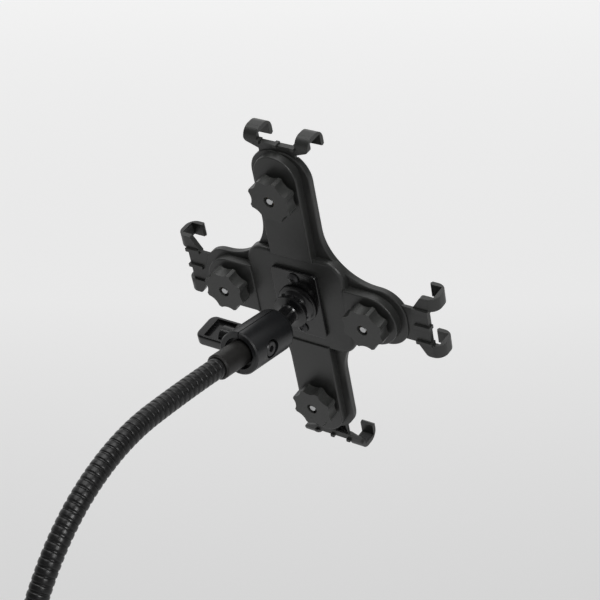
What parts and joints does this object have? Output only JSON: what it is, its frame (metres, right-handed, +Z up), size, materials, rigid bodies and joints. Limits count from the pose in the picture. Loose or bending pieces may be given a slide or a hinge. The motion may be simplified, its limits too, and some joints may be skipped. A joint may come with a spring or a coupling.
{
  "type": "tablet floor stand",
  "caption": "Floor stand for a tablet: a cross-shaped holder with sliding padded claws on a ball joint, a bending ribbed arm, a telescopic steel pole and a round weighted base.",
  "frame": {"origin": "middle of the round base, on the floor", "axes": "+Z up the pole, -Y towards the person who looks at the tablet, +X to that person's right"},
  "size_m": [0.284, 0.4771, 1.2711],
  "materials": {
    "black_moulding": "fine moulded grain, charcoal black",
    "black_boss": "glossy black",
    "black_rubber": "dull black",
    "black_tube": "satin black powder coat",
    "neck_sleeve": "semi-gloss black ribbed sleeve",
    "bright_zinc": "bright zinc plate",
    "bare_steel": "turned steel",
    "dark_weight": "dark painted casting",
    "white_bush": "natural slide plastic",
    "brass_insert": "turned brass"
  },
  "bodies": {
    "base": {"base_weight": "dark_weight", "base_cover": "black_tube", "base_feet": "black_rubber", "base_bolt": "bright_zinc", "base_washer": "bright_zinc", "pole_foot_plug": "bare_steel", "outer_pole": "black_tube", "base_collar": "black_moulding", "clamp_collar": "black_moulding", "collar_liner": "white_bush", "clamp_nut": "bright_zinc"},
    "height_clamp": {"height_knob": "black_moulding", "height_screw": "bright_zinc"},
    "riser": {"guide_bush": "white_bush"},
    "upper_pole": {"inner_pole": "black_tube", "pole_top_plug": "bare_steel", "pole_cap": "black_moulding", "lower_ferrule": "black_tube", "gooseneck": "neck_sleeve"},
    "neck_head": {"upper_ferrule": "black_tube"},
    "clamp_barrel": {"barrel_left": "black_tube", "barrel_right": "black_tube", "clamp_bolt": "bright_zinc"},
    "wing": {"wing_knob": "black_moulding", "wing_insert": "brass_insert"},
    "ball": {"swivel_ball": "black_boss"},
    "holder": {"ball_stud": "black_boss", "stud_plate": "black_tube", "plate_screws": "black_tube", "plate_nuts": "bright_zinc", "stud_nut": "bright_zinc", "rear_cover": "black_moulding", "front_plate": "black_moulding", "case_screws": "bright_zinc", "back_rests": "black_rubber", "arm_bolts": "bright_zinc", "arm_washers": "bright_zinc"},
    "top_slider": {"top_claw": "black_moulding", "top_claw_linings": "black_rubber"},
    "top_turner": {"top_knob": "black_moulding", "top_knob_insert": "brass_insert"},
    "left_slider": {"left_claw": "black_moulding", "left_claw_linings": "black_rubber"},
    "left_turner": {"left_knob": "black_moulding", "left_knob_insert": "brass_insert"},
    "bottom_slider": {"bottom_claw": "black_moulding", "bottom_claw_linings": "black_rubber"},
    "bottom_turner": {"bottom_knob": "black_moulding", "bottom_knob_insert": "brass_insert"},
    "right_slider": {"right_claw": "black_moulding", "right_claw_linings": "black_rubber"},
    "right_turner": {"right_knob": "black_moulding", "right_knob_insert": "brass_insert"}
  },
  "joints": [
    {"name": "height_clamp_turn", "type": "hinge", "parent": "base", "child": "height_clamp", "pos_m": [0, 0, 0.538], "axis": [1, 0, 0], "continuous": true},
    {"name": "height_slide", "type": "slide", "parent": "base", "child": "riser", "axis": [0, 0, 1], "range_m": [-0.29, 0.11]},
    {"name": "pole_turn", "type": "hinge", "parent": "riser", "child": "upper_pole", "pos_m": [0, 0, 0.9], "axis": [0, 0, 1], "continuous": true},
    {"name": "neck_bend", "type": "hinge", "parent": "upper_pole", "child": "neck_head", "pos_m": [0, -0.03542, 1.08715], "axis": [1, 0, 0], "range_deg": [-45, 35], "deforming": ["gooseneck"]},
    {"name": "barrel_roll", "type": "hinge", "parent": "neck_head", "child": "clamp_barrel", "pos_m": [0, -0.24875, 1.14165], "axis": [0, 0.9998, -0.0209], "continuous": true},
    {"name": "wing_turn", "type": "hinge", "parent": "clamp_barrel", "child": "wing", "pos_m": [0, -0.22725, 1.14119], "axis": [1, 0, 0], "continuous": true},
    {"name": "holder_tilt", "type": "hinge", "parent": "clamp_barrel", "child": "ball", "pos_m": [0, -0.24875, 1.14165], "axis": [1, 0, 0], "range_deg": [-14, 45]},
    {"name": "holder_turn", "type": "hinge", "parent": "ball", "child": "holder", "pos_m": [0, -0.24875, 1.14165], "axis": [0, 0.9585, -0.2852], "continuous": true},
    {"name": "top_claw_slide", "type": "slide", "parent": "holder", "child": "top_slider", "axis": [0, 0.2852, 0.9585], "range_m": [-0.0025, 0.029]},
    {"name": "top_knob_turn", "type": "hinge", "parent": "holder", "child": "top_turner", "pos_m": [0, -0.27286, 1.23594], "axis": [0, 0.9585, -0.2852], "continuous": true},
    {"name": "left_claw_slide", "type": "slide", "parent": "holder", "child": "left_slider", "axis": [1, 0, 0], "range_m": [-0.0035, 0.024]},
    {"name": "left_knob_turn", "type": "hinge", "parent": "holder", "child": "left_turner", "pos_m": [0.052, -0.29667, 1.1559], "axis": [0, 0.9585, -0.2852], "continuous": true},
    {"name": "bottom_claw_slide", "type": "slide", "parent": "holder", "child": "bottom_slider", "axis": [0, -0.2852, -0.9585], "range_m": [-0.0025, 0.029]},
    {"name": "bottom_knob_turn", "type": "hinge", "parent": "holder", "child": "bottom_turner", "pos_m": [0, -0.32049, 1.07587], "axis": [0, 0.9585, -0.2852], "continuous": true},
    {"name": "right_claw_slide", "type": "slide", "parent": "holder", "child": "right_slider", "axis": [-1, 0, 0], "range_m": [-0.0035, 0.024]},
    {"name": "right_knob_turn", "type": "hinge", "parent": "holder", "child": "right_turner", "pos_m": [-0.052, -0.29667, 1.1559], "axis": [0, 0.9585, -0.2852], "continuous": true}
  ]
}
